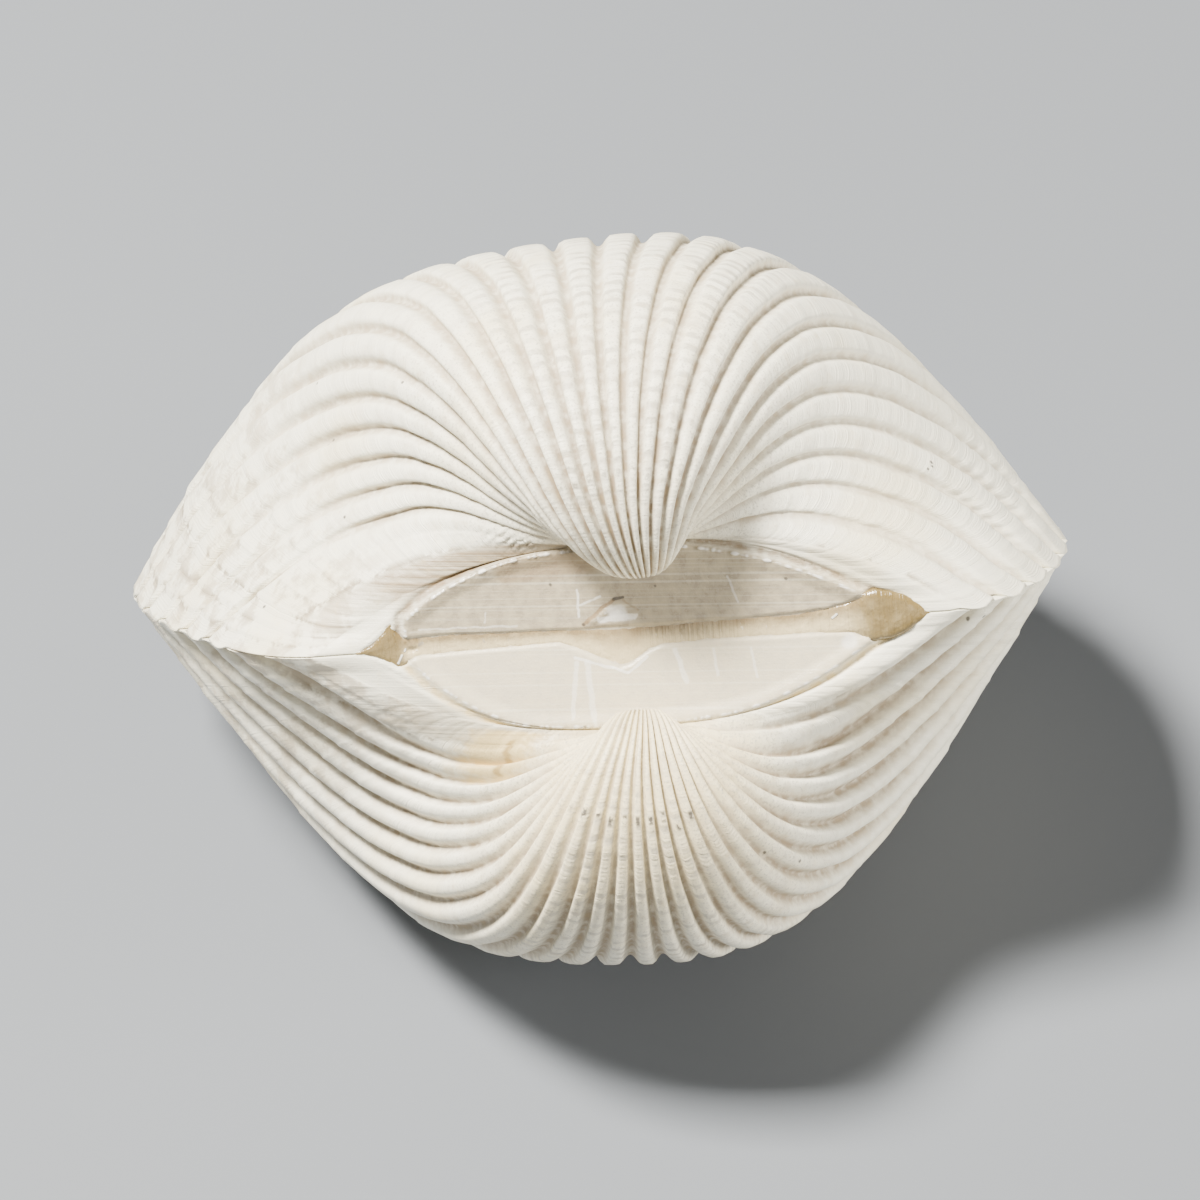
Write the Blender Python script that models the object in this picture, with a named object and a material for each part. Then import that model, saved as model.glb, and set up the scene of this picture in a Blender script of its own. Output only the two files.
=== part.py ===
"""A closed ark clam shell, Larkinia grandis: two ribbed valves and the dried ligament between them.

A valve grows by adding to its margin, so every growth line was once the whole margin. Here a growth line
is the margin's outline drawn smaller, with its plane turned about the hinge line, and the hinge line itself
has moved out from the middle of the shell towards the beak. The valve is the skin swept by all these lines.

In the shell's own axes, in millimetres, X runs from the rear end to the front end, Y from the hinge line to
the belly and Z from the plane where the valves meet to the left valve. The shell lies on its right valve.
"""
from math import cos, hypot, log, pi, radians, sin

import bmesh
import bpy
import numpy as np
from mathutils import Matrix, Vector

MM = 0.001

# Margin of a valve, seen square to the plane where the valves meet: from the front end of the hinge line,
# round the belly, to its rear end
OUTLINE = (
    (30.1, 0.0),
    (36.3, 1.9),
    (46.6, 38.7),
    (29.7, 66.3),
    (-5.2, 71.7),
    (-45.6, 61.0),
    (-49.7, 36.3),
    (-34.4, 3.1),
    (-29.0, 0.0),
)
MIDDLE = (-2.0, 34.0)
HINGE_STATIONS = (-20.0, -10.0, 0.0, 10.0, 20.0)

# Growth: the turn of a growth line's plane per natural logarithm of its shrinking, with its square and cube
CURL = (1.28, 0.079, -0.025)
PLATE_HEIGHT = 9.0
PLATE_FALL = -0.6
BEAK_LEAN = 2.4
PLATE_POWER = 2.7
TIP_SIZE = 0.05
GROWTH_ROWS = 14
ROW_CROWDING = 1.35

# Ribs, spaced along the margin from the middle one
RIB_MIDDLE = 106.2
RIB_PITCH = 9.4
RIB_TAPER = 0.007
FRONT_GROOVE = 12.5
REAR_GROOVE = -13.5
STEPS_PER_RIB = 4
GROOVE_DEPTH = 1.7
GROOVE_POWER = 0.7
SHOULDER_DROP = 0.12

# Margin teeth, wall and hollow
TOOTH_HEIGHT = 0.8
VALVE_GAP = 0.3
INNER_SCALE = 0.88
INNER_SIZES = (1.0, 0.8, 0.6, 0.42)

# Ligament
LIGAMENT_REAR = -27.6
LIGAMENT_FRONT = 28.6
LIGAMENT_STATIONS = 20
LIGAMENT_HALF_WIDTH = 0.9
LIGAMENT_THICKNESS = 0.6
FILLET_HALF_WIDTH = 2.0
FILLET_REACH = 4.2

# Rest: the shell tips until it lies on the long slope of its right valve, with its weight over that spot.
# The turns bring it there, and the shift brings the middle of its underside to the origin. What would then
# be below the ground is the small worn flat that it rests on.
REST_PITCH = -36.35
REST_ROLL = -1.46
REST_SHIFT = (1.58, -19.22, 48.54)

SHELL_WHITE = (0.80, 0.77, 0.70, 1.0)
LIGAMENT_CREAM = (0.62, 0.52, 0.36, 1.0)


def clear_scene():
    for item in list(bpy.context.scene.objects):
        bpy.data.objects.remove(item, do_unlink=True)


def plain_material(name, colour, roughness):
    material = bpy.data.materials.new(name)
    material.use_nodes = True
    shader = material.node_tree.nodes["Principled BSDF"]
    shader.inputs["Base Color"].default_value = colour
    shader.inputs["Roughness"].default_value = roughness
    shader.inputs["Metallic"].default_value = 0.0
    return material


def natural_spline(points, samples):
    """A smooth curve through the points, with spacing by the square root of the chord and free ends."""
    points = np.array(points)
    chords = np.linalg.norm(np.diff(points, axis=0), axis=1)
    knots = np.concatenate(([0.0], np.cumsum(np.sqrt(chords))))
    step = np.diff(knots)
    count = len(points)
    system = np.eye(count)
    pull = np.zeros((count, 2))
    for i in range(1, count - 1):
        system[i, i - 1:i + 2] = (step[i - 1], 2 * (step[i - 1] + step[i]), step[i])
        rise = (points[i + 1] - points[i]) / step[i] - (points[i] - points[i - 1]) / step[i - 1]
        pull[i] = 6 * rise
    bend = np.linalg.solve(system, pull)
    places = np.linspace(0.0, knots[-1], samples)
    spans = np.clip(np.searchsorted(knots, places) - 1, 0, count - 2)
    h = step[spans][:, None]
    a = knots[spans + 1][:, None] - places[:, None]
    b = places[:, None] - knots[spans][:, None]
    ends = bend[spans] * a ** 3 / (6 * h) + bend[spans + 1] * b ** 3 / (6 * h)
    lines = (points[spans] / h - bend[spans] * h / 6) * a + (points[spans + 1] / h - bend[spans + 1] * h / 6) * b
    return ends + lines


MARGIN = natural_spline(OUTLINE, 801)
MARGIN_ARC = np.concatenate(([0.0], np.cumsum(np.linalg.norm(np.diff(MARGIN, axis=0), axis=1))))


def margin_point(arc):
    return (
        float(np.interp(arc, MARGIN_ARC, MARGIN[:, 0])),
        float(np.interp(arc, MARGIN_ARC, MARGIN[:, 1])),
    )


def rib_arc(place):
    """Distance along the margin of a place counted in ribs from the middle rib, front ones positive."""
    return RIB_MIDDLE - RIB_PITCH * place + RIB_TAPER * place ** 3


def loop_stations():
    """Stations round a growth line: (x, y, rib place), with None for the rib place off the ribs."""
    stations = []
    front_arc = rib_arc(FRONT_GROOVE)
    stations.append((*margin_point(0.0), None))
    stations.append((*margin_point(front_arc * 0.5), None))
    steps = int(round((FRONT_GROOVE - REAR_GROOVE) * STEPS_PER_RIB))
    for i in range(steps + 1):
        place = FRONT_GROOVE - i / STEPS_PER_RIB
        stations.append((*margin_point(rib_arc(place)), place))
    rear_arc = rib_arc(REAR_GROOVE)
    total = float(MARGIN_ARC[-1])
    for part in (1 / 3, 2 / 3, 1.0):
        stations.append((*margin_point(rear_arc + (total - rear_arc) * part), None))
    for x in HINGE_STATIONS:
        stations.append((x, 0.0, None))
    return stations


def growth_frame(size):
    """Pivot (x, y, z) of the growth line of that size, and the turn of its plane."""
    shrink = -log(size)
    turn = CURL[0] * shrink + CURL[1] * shrink ** 2 + CURL[2] * shrink ** 3
    out = 1 - size ** PLATE_POWER
    return (BEAK_LEAN * (1 - size), PLATE_FALL * out, PLATE_HEIGHT * out), turn


def rib_drop(place, shift):
    """Depth of the surface below the rib tops, as a share of the groove's depth."""
    if place is None:
        return 0.0
    from_groove = abs((place + shift) % 1.0 - 0.5)
    return float(np.interp(from_groove, (0.0, 0.25, 0.5), (1.0, SHOULDER_DROP, 0.0)))


def tooth_rise(place):
    """Height of the line where the valves meet, over their mean plane."""
    if place is None:
        return 0.0
    ends = min(1.0, (FRONT_GROOVE - place) * 2, (place - REAR_GROOVE) * 2)
    return -TOOTH_HEIGHT * cos(2 * pi * place) * ends


def valve_point(station, size, inner, side, shift):
    x, y, place = station
    centre, turn = growth_frame(size)
    if inner:
        scale = INNER_SCALE
    else:
        depth = GROOVE_DEPTH * size ** GROOVE_POWER * rib_drop(place, shift)
        scale = 1 - depth / (size * hypot(x - MIDDLE[0], y - MIDDLE[1]))
    across = size * (MIDDLE[0] + (x - MIDDLE[0]) * scale)
    down = size * (MIDDLE[1] + (y - MIDDLE[1]) * scale)
    z = centre[2] + down * sin(turn)
    if size == 1.0:
        z = VALVE_GAP / 2 + side * tooth_rise(place)
    return Vector((centre[0] + across, centre[1] + down * cos(turn), side * z))


def growth_rows():
    """(size, inner) for each row of the skin: beak to margin outside, then margin to hollow inside."""
    rows = []
    for i in range(GROWTH_ROWS + 1):
        left = 1 - i / GROWTH_ROWS
        rows.append((TIP_SIZE ** (left ** ROW_CROWDING), False))
    for size in INNER_SIZES:
        rows.append((size, True))
    return rows


def rest_matrix():
    turn = Matrix.Rotation(radians(REST_ROLL), 4, "Y") @ Matrix.Rotation(radians(REST_PITCH), 4, "X")
    return Matrix.Translation(Vector(REST_SHIFT)) @ turn


def add_object(name, mesh_builder, material):
    mesh = bpy.data.meshes.new(name)
    mesh_builder.to_mesh(mesh)
    mesh_builder.free()
    mesh.materials.append(material)
    item = bpy.data.objects.new(name, mesh)
    bpy.context.scene.collection.objects.link(item)
    return item


def settle(bm):
    """Turn and shift the finished form to its rest, and shave what would sink into the ground."""
    bmesh.ops.transform(bm, matrix=rest_matrix(), verts=bm.verts)
    for vertex in bm.verts:
        vertex.co.z = max(vertex.co.z, 0.0)
    bmesh.ops.scale(bm, vec=(MM, MM, MM), verts=bm.verts)


def wrapped_sheet(columns, rows, place_vertex):
    """A grid of columns by rows, each vertex placed by place_vertex(column, row), with the sides joined."""
    bm = bmesh.new()
    bmesh.ops.create_grid(bm, x_segments=columns, y_segments=rows - 1, size=1.0)
    for vertex in bm.verts:
        column = round((vertex.co.x + 1) / 2 * columns) % columns
        row = round((vertex.co.y + 1) / 2 * (rows - 1))
        vertex.co = place_vertex(column, row)
    bmesh.ops.remove_doubles(bm, verts=bm.verts, dist=1e-5)
    return bm


def valve(name, side, shift, material):
    stations = loop_stations()
    rows = growth_rows()

    def place_vertex(column, row):
        size, inner = rows[row]
        return valve_point(stations[column], size, inner, side, shift)

    bm = wrapped_sheet(len(stations), len(rows), place_vertex)
    open_edges = [edge for edge in bm.edges if edge.is_boundary]
    bmesh.ops.holes_fill(bm, edges=open_edges, sides=0)
    bmesh.ops.recalc_face_normals(bm, faces=bm.faces)
    settle(bm)
    return add_object(name, bm, material)


def ligament_half_width(x):
    """A narrow band along the hinge line that spreads into a fillet at each end of the plates."""
    to_end = min(x - LIGAMENT_REAR, LIGAMENT_FRONT - x)
    fillet = FILLET_HALF_WIDTH * min(to_end / FILLET_REACH, 1.0)
    if to_end > FILLET_REACH:
        fade = min((to_end - FILLET_REACH) / FILLET_REACH, 1.0)
        fillet += (LIGAMENT_HALF_WIDTH - FILLET_HALF_WIDTH) * fade
    return max(fillet, 0.05)


def ligament(material):
    """A thin strip over the hinge line, its back just clear of the plates."""
    section = ((-1.0, 0.0), (-0.6, 1.0), (0.6, 1.0), (1.0, 0.0), (0.0, 0.0))

    def place_vertex(column, row):
        x = LIGAMENT_REAR + (LIGAMENT_FRONT - LIGAMENT_REAR) * row / LIGAMENT_STATIONS
        across, height = section[column]
        z = across * ligament_half_width(x)
        plate = PLATE_FALL / PLATE_HEIGHT * abs(z)
        return Vector((x, plate - VALVE_GAP - LIGAMENT_THICKNESS * height, z))

    bm = wrapped_sheet(len(section), LIGAMENT_STATIONS + 1, place_vertex)
    open_edges = [edge for edge in bm.edges if edge.is_boundary]
    bmesh.ops.holes_fill(bm, edges=open_edges, sides=0)
    bmesh.ops.recalc_face_normals(bm, faces=bm.faces)
    settle(bm)
    return add_object("ligament", bm, material)


clear_scene()
shell = plain_material("shell", SHELL_WHITE, 0.45)
dried_film = plain_material("dried_ligament", LIGAMENT_CREAM, 0.3)
valve("left_valve", 1, 0.0, shell)
valve("right_valve", -1, 0.5, shell)
ligament(dried_film)
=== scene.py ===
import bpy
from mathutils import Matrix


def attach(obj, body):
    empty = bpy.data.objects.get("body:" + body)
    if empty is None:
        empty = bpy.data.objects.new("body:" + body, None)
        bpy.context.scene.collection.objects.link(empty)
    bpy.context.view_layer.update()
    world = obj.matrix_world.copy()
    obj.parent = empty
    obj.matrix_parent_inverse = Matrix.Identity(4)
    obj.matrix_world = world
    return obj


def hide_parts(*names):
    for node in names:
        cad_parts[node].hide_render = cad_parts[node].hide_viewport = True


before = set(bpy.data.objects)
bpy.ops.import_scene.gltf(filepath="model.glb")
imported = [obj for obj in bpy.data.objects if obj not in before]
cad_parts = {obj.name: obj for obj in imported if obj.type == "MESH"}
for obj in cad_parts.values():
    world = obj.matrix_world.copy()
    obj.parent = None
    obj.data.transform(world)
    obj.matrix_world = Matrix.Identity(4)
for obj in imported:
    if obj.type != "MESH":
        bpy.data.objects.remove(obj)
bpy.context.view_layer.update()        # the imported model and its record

from types import SimpleNamespace

import bmesh
import bpy
import numpy as np
from mathutils import Matrix, Vector

# Left valve
# The upper half of the shell: one heavy piece of white lime that the animal laid down at its margin, ridge
# by ridge. Its ribs run from the beak to the margin, and its flat cardinal plate faces the hinge side. The
# real valve is held to its twin by the dried ligament and by the teeth of the margin.

MM = 0.001
# The grown margin in its own plane, in millimetres, from the front end of the hinge line round to the rear
OUTLINE = (
    (30.1, 0.0), (36.3, 1.9), (46.6, 38.7), (29.7, 66.3), (-5.2, 71.7),
    (-45.6, 61.0), (-49.7, 36.3), (-34.4, 3.1), (-29.0, 0.0),
)
MIDDLE = (-2.0, 34.0)
# How the plane of the margin turns about the hinge line as the shell is younger, in powers of the shrinking
CURL = (1.28, 0.079, -0.025)
PLATE_HEIGHT = 9.0
PLATE_FALL = -0.6
BEAK_LEAN = 2.4
PLATE_POWER = 2.7
PLATE_LENGTH = np.hypot(PLATE_HEIGHT, PLATE_FALL)
TIP_SIZE = 0.05
# How the shell lies on the floor, in degrees and millimetres
REST_PITCH = -36.35
REST_ROLL = -1.46
REST_SHIFT = (1.58, -19.22, 48.54)

RIB_MIDDLE = 106.2
RIB_PITCH = 9.4
RIB_TAPER = 0.007
FRONT_GROOVE = 12.5
REAR_GROOVE = -13.5
GROOVE_POWER = 0.7
TOOTH_HEIGHT = 0.3
SEEN_GAP = 0.06
MARGIN_LIFT = 0.08
PLATE_SINK = 0.28
HINGE_SINK = 0.44
TROUGH_DEPTH = 0.18
INNER_SCALE = 0.88
INNER_TIP_SIZE = 0.42

RIB_COLUMNS = 345
PLATE_COLUMNS = 140
SKIN_ROWS = 190
INNER_ROWS = 8
# Rows on the lip: how far each lies in from the margin, and off the plane where the valves meet
LIP_STEPS = ((0.05, 0.04), (0.15, 0.01), (0.6, 0.0))
ROW_CROWDING = 1.25
NORMAL_PASSES = 70
WANDER_REACH = 16
NO_RIB = 99.0
MARGIN_STEPS = 1601
CROWDING_STEPS = 6001
PLATE_EDGE_STEPS = 240
STAIN_SIZE = 0.345
SAME_POINT = 1e-5

# Each rib strays a little from its even place. Rows by growth size, columns by rib, without the outer two,
# which never stray.
WANDER_RIBS = (-14.7, -13.0, -10.0, -7.0, -4.0, -1.0, 2.0, 5.0, 8.0, 11.0, 12.75)
WANDER_SIZES = (0.07, 0.11, 0.16, 0.22, 0.30, 0.43, 0.60, 0.80, 1.0)
LEFT_WANDER = (
    (0.0, 0.0, -0.3, -0.65, -0.25, -0.9, -0.8, 0.0, 0.0),
    (-0.4, -0.4, -0.2, -0.2, -0.27, -0.97, -1.0, -0.1, 0.2),
    (-0.8, -0.8, -0.1, -0.15, -0.28, -0.7, -0.62, 0.1, 0.2),
    (-1.1, -1.3, -0.05, -0.09, -0.26, -0.62, -0.42, 0.1, 0.0),
    (-0.5, -0.42, 0.15, -0.02, -0.11, -0.33, -0.2, -0.2, -0.35),
    (0.12, 0.17, 0.2, 0.05, 0.11, 0.02, 0.01, -0.3, -0.45),
    (0.08, 0.1, -0.1, 0.05, 0.1, 0.05, 0.1, -0.12, -0.35),
    (0.1, 0.12, -0.1, 0.0, 0.0, 0.0, 0.08, -0.2, -0.3),
    (0.0, 0.0, 0.0, 0.0, 0.0, 0.0, 0.0, 0.0, 0.0),
)
# The grooves: their depth; half the width of their floor, and of their mouth in the young and in the grown
# shell, all in ribs; the share of the depth that rounds the rib; how far they narrow between the tabs of the
# rear end; and how much shallower they are in front, where less than 0 is deeper
LEFT_GROOVE = SimpleNamespace(
    depth=2.0, floor=0.05, young_mouth=0.36, mouth=0.24, rounding=0.26, rear_tabs=1.0, front_fall=0.28,
)

# Sizes at which growth paused, with the height of the ledge that each pause left
LEFT_PAUSES = (
    (0.107, 0.05), (0.137, 0.07), (0.168, 0.12), (0.335, 0.06), (0.405, 0.05), (0.52, 0.05),
    (0.655, 0.10), (0.74, 0.08), (0.815, 0.10), (0.868, 0.22), (0.915, 0.14), (0.955, 0.20),
)
# Edge of the cardinal plate, as the place on the hinge line that each growth size's end stands over
LEFT_PLATE_REAR = (
    (0.36, 0.46, 0.52, 0.62, 0.73, 0.85, 0.93, 1.0),
    (-28.5, -26.6, -25.7, -25.1, -24.5, -23.8, -21.8, -20.0),
)
LEFT_PLATE_FRONT = (
    (0.30, 0.43, 0.52, 0.62, 0.75, 0.88, 1.0),
    (17.6, 19.9, 21.8, 23.7, 25.4, 27.0, 29.2),
)
# The trough that holds the dried film: how far it reaches over the upper and the lower plate at each place on
# the hinge line
BAND_X = (
    -24.8, -23.1, -22.0, -21.2, -20.8, -20.2, -18.8, -15.5, -10.8, -6.8, -5.1, -3.6, -2.3, -0.8, 0.5, 1.5,
    2.6, 3.4, 4.6, 10.0, 17.2, 20.8, 23.0, 24.2, 25.2, 26.8, 28.2, 29.6, 30.6,
)
BAND_TOP = (
    0.05, 0.9, 1.9, 2.7, 2.0, 1.3, 1.25, 1.3, 1.1, 1.0, 0.95, 0.85, 0.85, 0.9, 0.9, 0.85,
    0.8, 0.75, 0.7, 0.8, 0.85, 1.1, 1.6, 2.3, 2.7, 2.4, 1.9, 1.0, 0.1,
)
BAND_BOTTOM = (
    0.05, 0.4, 1.0, 1.6, 1.8, 1.5, 0.8, 0.7, 0.6, 0.5, 0.5, 1.1, 1.8, 2.6, 3.3, 3.1,
    2.4, 1.9, 1.4, 1.25, 1.4, 1.4, 1.5, 2.1, 2.5, 2.3, 1.8, 0.9, 0.1,
)
# The raised edge of the torn flake on the plate: x and height of the ends of each stretch, and its rise
LEFT_FLAKE = (((-1.8, 1.45, 0.6, 3.1), 0.24), ((0.6, 3.1, 2.4, 1.9), 0.20))
LEFT_VALVE = SimpleNamespace(
    side=1, rib_shift=0.0, groove=LEFT_GROOVE, wander=LEFT_WANDER, pauses=LEFT_PAUSES, beak_shift=(0.9, -0.6),
    plate_edges=(LEFT_PLATE_REAR, LEFT_PLATE_FRONT), rim_height=0.16, trough=BAND_TOP, flake=LEFT_FLAKE,
    # The bevels at the rear and front ends: width on the margin and on the plate, and depth
    bevels=((7.2, 4.5, 1.5), (4.3, 3.2, 0.7)),
    # The last rib at the rear, how worn the shell is there and how strong the dark lines at its ledges are,
    # the height of the rough fold on the rear shoulder, and whether the shoulder is stained
    rear_rib=-13.0, worn_rear=0.6, dark_steps_rear=1.0, fold_rise=0.16, stained=0.0,
)


def natural_spline(points, samples):
    """A smooth curve through the points, with spacing by the square root of the chord and free ends."""
    points = np.array(points)
    chords = np.linalg.norm(np.diff(points, axis=0), axis=1)
    knots = np.concatenate(([0.0], np.cumsum(np.sqrt(chords))))
    step = np.diff(knots)
    count = len(points)
    system = np.eye(count)
    pull = np.zeros((count, 2))
    for i in range(1, count - 1):
        system[i, i - 1:i + 2] = (step[i - 1], 2 * (step[i - 1] + step[i]), step[i])
        rise = (points[i + 1] - points[i]) / step[i] - (points[i] - points[i - 1]) / step[i - 1]
        pull[i] = 6 * rise
    bend = np.linalg.solve(system, pull)
    places = np.linspace(0.0, knots[-1], samples)
    spans = np.clip(np.searchsorted(knots, places) - 1, 0, count - 2)
    h = step[spans][:, None]
    a = knots[spans + 1][:, None] - places[:, None]
    b = places[:, None] - knots[spans][:, None]
    ends = bend[spans] * a ** 3 / (6 * h) + bend[spans + 1] * b ** 3 / (6 * h)
    before = points[spans] / h - bend[spans] * h / 6
    after = points[spans + 1] / h - bend[spans + 1] * h / 6
    return ends + before * a + after * b


margin = natural_spline(OUTLINE, MARGIN_STEPS)
margin_arc = np.concatenate(([0.0], np.cumsum(np.linalg.norm(np.diff(margin, axis=0), axis=1))))
rest_turn = Matrix.Rotation(np.radians(REST_ROLL), 4, "Y") @ Matrix.Rotation(np.radians(REST_PITCH), 4, "X")
rest_matrix = Matrix.Translation(Vector(REST_SHIFT)) @ rest_turn


def smooth(low, high, value):
    """A soft step from 0 at low to 1 at high, which may also be the lower of the two."""
    part = np.clip((value - low) / (high - low), 0.0, 1.0)
    return part * part * (3 - 2 * part)


def hump(centre, width, value):
    """A round rise of height 1 at the centre."""
    return np.exp(-((value - centre) / width) ** 2)


def ripple(value, seed, other=0.0):
    """An uneven wave of height about 1, from a few sines with seeded rates and starts."""
    dice = np.random.default_rng(seed)
    total = 0.0
    for rate in (1.0, 1.73, 2.61, 4.19):
        turn = dice.uniform(0.0, 2 * np.pi)
        slant = dice.uniform(0.6, 1.4)
        total = total + np.sin(value * rate + other * slant + turn) / rate ** 0.6
    return total / 1.8


def rib_arc(place):
    """Arc length round the margin of a rib place, where the middle rib is 0 and the rear is negative."""
    return RIB_MIDDLE - RIB_PITCH * place + RIB_TAPER * place ** 3


def crowded(low, high, count, density):
    """Places from low to high, closer together where density is higher."""
    fine = np.linspace(low, high, CROWDING_STEPS)
    weight = np.concatenate(([0.0], np.cumsum(density(0.5 * (fine[1:] + fine[:-1])))))
    return np.interp(np.linspace(0.0, weight[-1], count), weight, fine)


def column_places(shift):
    """The rib places of the columns round the margin, closer together at the grooves, front corner first."""

    def near_groove(place):
        from_groove = np.abs((place + shift) % 1.0 - 0.5)
        return 1 + 1.7 * np.exp(-(from_groove / 0.17) ** 2)

    return crowded(WANDER_RIBS[0], WANDER_RIBS[-1], RIB_COLUMNS, near_groove)[::-1]


def margin_arc_at(place):
    """Arc length round the margin from the front corner, for a rib place."""
    ribbed = rib_arc(np.clip(place, REAR_GROOVE, FRONT_GROOVE))
    front = (place - FRONT_GROOVE) / (WANDER_RIBS[-1] - FRONT_GROOVE)
    rear = (REAR_GROOVE - place) / (REAR_GROOVE - WANDER_RIBS[0])
    ribbed = ribbed - np.clip(front, 0.0, 1.0) * rib_arc(FRONT_GROOVE)
    return ribbed + np.clip(rear, 0.0, 1.0) * (margin_arc[-1] - rib_arc(REAR_GROOVE))


def rib_wander(places, size, table):
    """How far the ribs stray from their even places, smoothed along the growth."""
    by_rib = np.array([np.interp(places, WANDER_RIBS, (0.0, *row, 0.0)) for row in table])
    wander = np.stack([np.interp(size, WANDER_SIZES, by_rib[:, i]) for i in range(len(places))])
    padded = np.pad(wander, ((0, 0), (WANDER_REACH, WANDER_REACH)), mode="edge")
    weights = np.hanning(2 * WANDER_REACH + 3)[1:-1]
    rows = wander.shape[1]
    total = sum(weight * padded[:, i:i + rows] for i, weight in enumerate(weights))
    return total / weights.sum()


def growth_pivot(size):
    """Where the hinge end of a growth size's outline stands, and how far its plane has turned."""
    shrink = -np.log(size)
    turn = CURL[0] * shrink + CURL[1] * shrink ** 2 + CURL[2] * shrink ** 3
    out = 1 - size ** PLATE_POWER
    return BEAK_LEAN * (1 - size), PLATE_FALL * out, PLATE_HEIGHT * out, turn


def groove_drop(place, size, shift, groove):
    """Depth below the rib tops as a share of the groove's depth."""
    in_front = smooth(6.0, 7.5, place) * smooth(10.5, 9.5, place)
    wavy = smooth(0.72, 0.80, size) * smooth(0.96, 0.90, size) * in_front
    scallop = 0.022 * np.sin(size * 241.0 + 2.1 * place) * wavy
    uneven = 0.02 * ripple(size * 25.0, 5, place * 0.7)
    from_groove = np.abs((place + scallop + uneven + shift) % 1.0 - 0.5)
    young = smooth(0.42, 0.12, size)
    tabs = groove.rear_tabs * smooth(-6.0, -7.6, place) * smooth(0.70, 0.86, size)
    mouth = (groove.mouth + (groove.young_mouth - groove.mouth) * young) * (1 - 0.62 * tabs)
    rounding = (groove.rounding + 0.25 * smooth(4.5, 8.0, np.abs(place))) * (1 - 0.9 * tabs)
    fall = groove.front_fall * smooth(3.0, 6.5, place) * smooth(0.28, 0.50, size)
    wall = 1 - smooth(groove.floor + 0.06 * young, mouth * (1 - 0.5 * fall), from_groove)
    return ((1 - rounding) * wall + rounding * (1 - 2 * from_groove) ** 2) * (1 - fall)


def pause_ledges(size, pauses):
    """Height of the surface over the smooth form: it flares before each pause and steps back after it."""
    rise = 0.0
    for at, height in pauses:
        before = np.exp(-np.clip(at - size, 0.0, None) / 0.022)
        rise = rise + height * before * smooth(at + 0.004, at - 0.002, size)
    return rise


def tooth_rise(place):
    """Height of the toothed line where the margins meet: low at the left valve's ribs, high between them."""
    ends = np.clip(np.minimum((FRONT_GROOVE - place) * 2, (place - REAR_GROOVE) * 2), 0.0, 1.0)
    wave = np.cos(2 * np.pi * place)
    square = wave / np.sqrt(wave ** 2 + 0.25) * 1.1
    return -TOOTH_HEIGHT * square * ends


def rim_distance(x, out, edge, sign):
    """Distance from the edge of the cardinal plate, positive on the plate, and the way along that edge."""
    size = np.linspace(0.08, 1.0, PLATE_EDGE_STEPS)
    edge_x = size * np.interp(size, edge[0], edge[1]) + BEAK_LEAN * (1 - size)
    edge_out = PLATE_LENGTH * (1 - size ** PLATE_POWER)
    along = np.concatenate(([0.0], np.cumsum(np.hypot(np.diff(edge_x), np.diff(edge_out)))))
    gap = np.hypot(x[..., None] - edge_x, out[..., None] - edge_out)
    nearest = gap.argmin(axis=-1)
    within = np.sign(np.interp(out, edge_out[::-1], edge_x[::-1]) - x) * sign
    return gap.min(axis=-1) * within, along[nearest]


def segment_gap(x, z, ends):
    """Distance of the points from a straight segment, given as x0, z0, x1, z1."""
    x0, z0, x1, z1 = ends
    way = ((x - x0) * (x1 - x0) + (z - z0) * (z1 - z0)) / ((x1 - x0) ** 2 + (z1 - z0) ** 2)
    way = np.clip(way, 0.0, 1.0)
    return np.hypot(x - x0 - way * (x1 - x0), z - z0 - way * (z1 - z0))


def hinge_sink(x):
    """How far the hinge line itself lies below the plane of the plates, the same for both valves."""
    return HINGE_SINK * smooth(-24.6, -21.0, x) * smooth(30.2, 26.5, x)


def plate_relief(x, out, valve, flake_edges):
    """Relief of the sunk plate, with a frilled lip, a furrow outside it and a trough for the film."""
    rear, rear_way = rim_distance(x, out, valve.plate_edges[0], -1.0)
    front, front_way = rim_distance(x, out, valve.plate_edges[1], 1.0)
    inside = np.minimum(rear, front)
    way = np.where(rear < front, rear_way, front_way)
    scallops = 0.75 + 0.35 * np.sin(way * 7.5 + 2.5 * np.sin(way * 1.9))
    frill = np.clip(scallops + 0.45 * ripple(way * 2.3, 31), 0.1, 2.0)
    lip = hump(0.3, 0.22, inside) * smooth(0.4, 1.6, out)
    furrow = hump(-0.4, 0.5, inside)
    relief = valve.rim_height * lip * frill - 0.40 * furrow - PLATE_SINK * smooth(0.5, 1.8, inside)
    flake = 0.0
    for ends, rise in flake_edges:
        flake = np.maximum(flake, rise * hump(0.0, 0.22, segment_gap(x, out, ends)))
    past = out - np.interp(x, BAND_X, valve.trough)
    trough = smooth(0.10, -0.12, past) - 0.08 * hump(0.28, 0.2, past)
    relief = relief + flake - TROUGH_DEPTH * trough
    at_hinge = smooth(0.4, 0.0, out)
    relief = relief * (1 - at_hinge) - hinge_sink(x) * at_hinge
    return relief, smooth(-0.1, 0.25, inside), lip * frill, furrow


def surface_normals(points):
    """Unit normals, softened at corners, of a sheet that closes on itself from column to column."""
    across = np.roll(points, -1, axis=0) - np.roll(points, 1, axis=0)
    along = np.gradient(points, axis=1)
    normals = np.cross(along, across)
    normals = normals / np.maximum(np.linalg.norm(normals, axis=2, keepdims=True), 1e-9)
    for _ in range(NORMAL_PASSES):
        ends = np.concatenate((normals[:, :1], normals, normals[:, -1:]), axis=1)
        normals = 0.5 * normals + 0.25 * (ends[:, :-2] + ends[:, 2:])
        normals = 0.5 * normals + 0.25 * (np.roll(normals, 1, axis=0) + np.roll(normals, -1, axis=0))
    return normals / np.maximum(np.linalg.norm(normals, axis=2, keepdims=True), 1e-9)


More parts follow.
